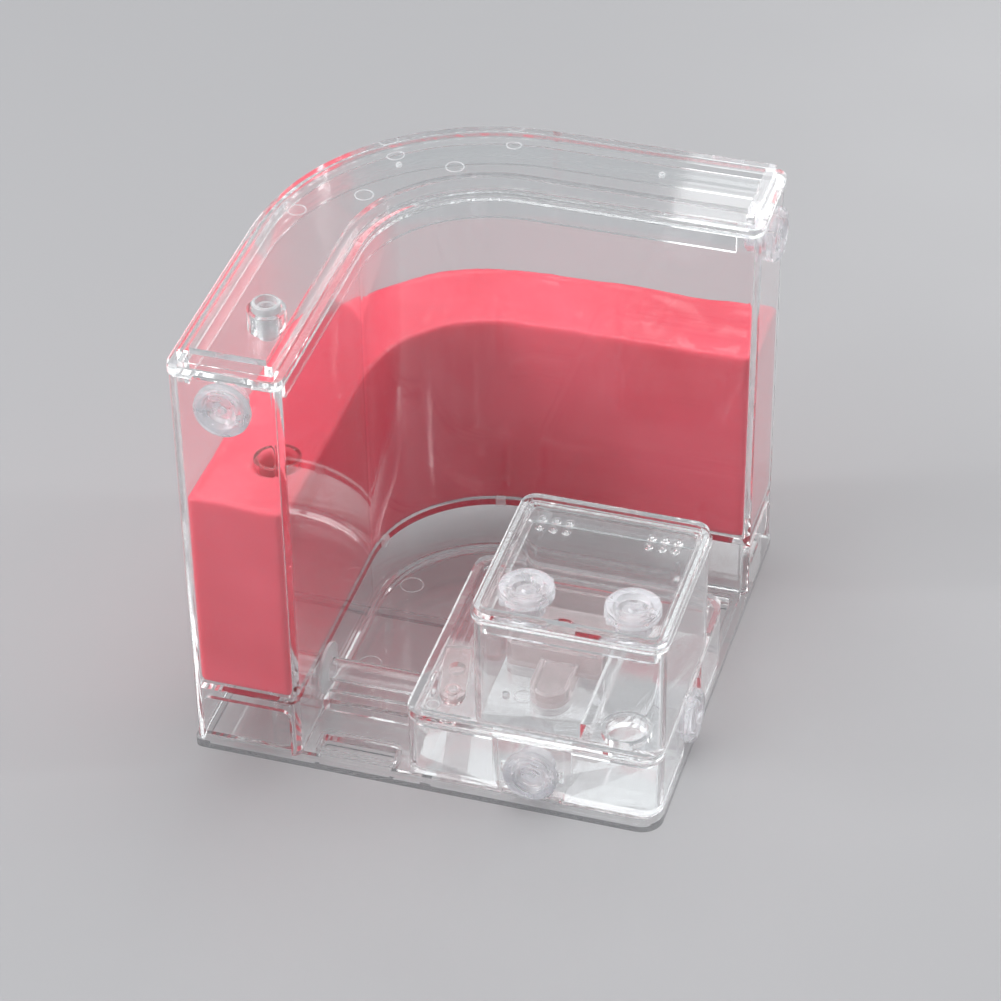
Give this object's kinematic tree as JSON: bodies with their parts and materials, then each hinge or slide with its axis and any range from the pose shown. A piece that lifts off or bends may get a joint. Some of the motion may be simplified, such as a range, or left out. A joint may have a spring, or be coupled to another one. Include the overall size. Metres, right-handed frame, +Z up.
{
  "type": "ant habitat",
  "caption": "Clear L-shaped gel nest on a base tray with a lid, a well and a tunnel to a low feeding tray with a gate and a lidded feeding box, with soft plugs in its tube ports.",
  "frame": {"origin": "centre of the base's underside, on the crossing of its ribs", "axes": "+X to the right, along the back arm to its end; +Y to the back; +Z up. The left arm of the nest ends at the front (-Y)."},
  "size_m": [0.1531, 0.1531, 0.1544],
  "materials": {
    "clear_plastic": "clear, polished",
    "white_plastic": "smooth, slightly translucent",
    "milky_plastic": "milky, smooth",
    "pink_gel": "wet, translucent",
    "silicone": "soft, milky, satin"
  },
  "bodies": {
    "habitat": {"base_tray": "clear_plastic", "court_floor": "clear_plastic", "nest_tank": "clear_plastic", "gel_block": "pink_gel", "well_tube": "clear_plastic", "well_elbow": "clear_plastic", "tunnel_tube": "clear_plastic", "tunnel_collar": "white_plastic", "feeding_tray": "clear_plastic", "tray_deck": "clear_plastic", "gate_pin": "milky_plastic"},
    "nest_lid": {"nest_lid": "clear_plastic"},
    "filler_cap": {"filler_cap": "white_plastic"},
    "gate_lever": {"gate_lever": "milky_plastic"},
    "feeding_box": {"feeding_box": "clear_plastic"},
    "water_dish": {"water_dish": "milky_plastic"},
    "box_lid": {"box_lid": "clear_plastic"},
    "lid_plug_left": {"lid_plug_left": "silicone"},
    "lid_plug_right": {"lid_plug_right": "silicone"},
    "nest_plug_front": {"nest_plug_front": "silicone"},
    "nest_plug_right": {"nest_plug_right": "silicone"},
    "tray_plug_front": {"tray_plug_front": "silicone"},
    "tray_plug_right": {"tray_plug_right": "silicone"}
  },
  "joints": [
    {"name": "nest_lid_lift", "type": "slide", "parent": "habitat", "child": "nest_lid", "axis": [0, 0, 1], "range_m": [0, 0.04]},
    {"name": "filler_cap_pull", "type": "slide", "parent": "nest_lid", "child": "filler_cap", "axis": [0, 0, 1], "range_m": [0, 0.014]},
    {"name": "gate_swing", "type": "hinge", "parent": "habitat", "child": "gate_lever", "pos_m": [0.006, -0.061, 0.0295], "axis": [0, 0, 1], "range_deg": [-20, 60]},
    {"name": "feeding_box_lift", "type": "slide", "parent": "habitat", "child": "feeding_box", "axis": [0, 0, 1], "range_m": [0, 0.05]},
    {"name": "water_dish_lift", "type": "slide", "parent": "feeding_box", "child": "water_dish", "axis": [0, 0, 1], "range_m": [0, 0.02]},
    {"name": "box_lid_lift", "type": "slide", "parent": "feeding_box", "child": "box_lid", "axis": [0, 0, 1], "range_m": [0, 0.03]},
    {"name": "lid_plug_left_pull", "type": "slide", "parent": "box_lid", "child": "lid_plug_left", "axis": [0, 0, 1], "range_m": [0, 0.015]},
    {"name": "lid_plug_right_pull", "type": "slide", "parent": "box_lid", "child": "lid_plug_right", "axis": [0, 0, 1], "range_m": [0, 0.015]},
    {"name": "nest_plug_front_pull", "type": "slide", "parent": "habitat", "child": "nest_plug_front", "axis": [0, -1, 0], "range_m": [0, 0.015]},
    {"name": "nest_plug_right_pull", "type": "slide", "parent": "habitat", "child": "nest_plug_right", "axis": [1, 0, 0], "range_m": [0, 0.015]},
    {"name": "tray_plug_front_pull", "type": "slide", "parent": "habitat", "child": "tray_plug_front", "axis": [0, -1, 0], "range_m": [0, 0.015]},
    {"name": "tray_plug_right_pull", "type": "slide", "parent": "habitat", "child": "tray_plug_right", "axis": [1, 0, 0], "range_m": [0, 0.015]}
  ]
}
